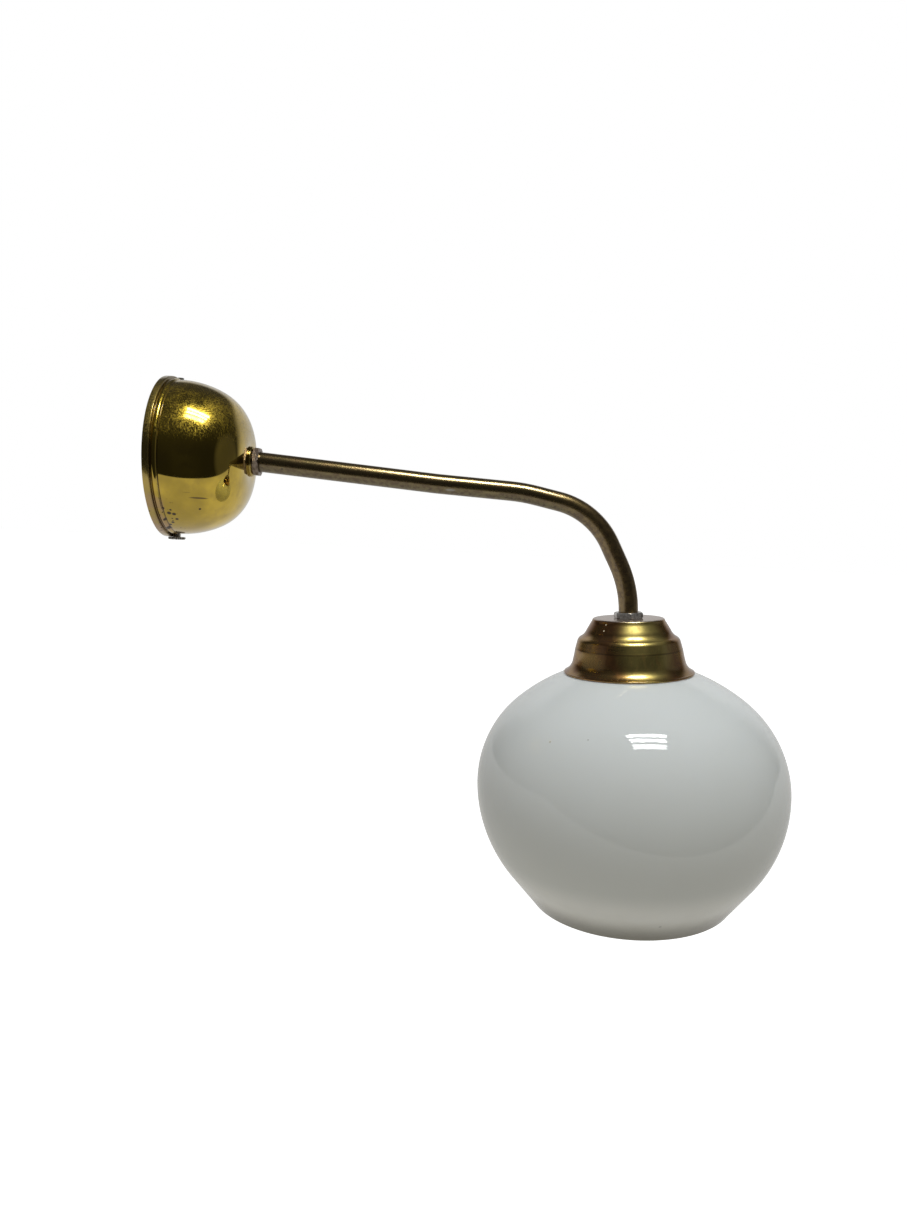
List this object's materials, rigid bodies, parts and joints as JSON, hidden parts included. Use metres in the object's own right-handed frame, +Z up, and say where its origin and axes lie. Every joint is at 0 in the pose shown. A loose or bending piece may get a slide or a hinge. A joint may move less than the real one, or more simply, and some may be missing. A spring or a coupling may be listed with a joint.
{
  "type": "wall sconce",
  "caption": "Wall sconce with a domed brass cap, a bent tube arm, a stepped brass gallery and a squat opal glass ball that is open below.",
  "frame": {"origin": "centre of the wall cap's back rim, on the wall; the strap's back face lies there", "axes": "+X straight out of the wall along the start of the arm, +Z up, Y along the wall"},
  "size_m": [0.3251, 0.16, 0.2618],
  "materials": {
    "cap_brass": "polished, aged lacquer",
    "arm_brass": "patinated",
    "gallery_brass": "aged, reddish brown",
    "bright_brass": "satin",
    "steel": "zinc plated",
    "screw_steel": "dull",
    "nut_steel": "dull nickel",
    "block_plastic": "off-white",
    "bush_plastic": "black",
    "live_insulation": "brown",
    "neutral_insulation": "blue",
    "earth_insulation": "green with yellow",
    "porcelain": "white glaze",
    "opal_glass": "glossy opal",
    "bulb_opal": "smooth opal",
    "cap_metal": "nickel plated",
    "black_glass": "black",
    "solder": "dull solder"
  },
  "bodies": {
    "fixture": {"wall_plate": "steel", "wall_cap": "cap_brass", "cap_fixing_screw": "screw_steel", "terminal_housing": "block_plastic", "terminal_inserts": "bright_brass", "terminal_screws": "screw_steel", "terminal_mount_screw": "screw_steel", "earth_screw": "bright_brass", "earth_tag": "bright_brass", "arm_inner_nut": "nut_steel", "arm_inner_washer": "steel", "cap_ferrule": "cap_brass", "arm_outer_nut": "nut_steel", "entry_bush": "bush_plastic", "arm_tube": "arm_brass", "live_wire": "live_insulation", "neutral_wire": "neutral_insulation", "earth_wire": "earth_insulation", "gallery_nut": "nut_steel", "gallery": "gallery_brass", "holder_cap": "bright_brass", "holder_insert": "porcelain", "holder_centre_contact": "bright_brass", "holder_screw_shell": "bright_brass", "holder_terminal_screws": "screw_steel", "holder_sleeve": "bright_brass", "shade_ring": "bright_brass", "glass_shade": "opal_glass"},
    "bulb_contact": {"bulb_tip": "solder"},
    "bulb": {"bulb_glass": "bulb_opal", "bulb_cap": "cap_metal", "bulb_insulator": "black_glass"}
  },
  "joints": [
    {"name": "bulb_travel", "type": "slide", "parent": "fixture", "child": "bulb_contact", "axis": [0.0732, 0, -0.9973], "range_m": [0, 0.022]},
    {"name": "bulb_turn", "type": "hinge", "parent": "bulb_contact", "child": "bulb", "pos_m": [0.24103, 0, -0.10082], "axis": [0.0732, 0, -0.9973], "range_deg": [0, 2160]}
  ],
  "couplings": [
    {"joint": "bulb_travel", "follows": "bulb_turn", "m_per_rad": 0.00057757}
  ]
}
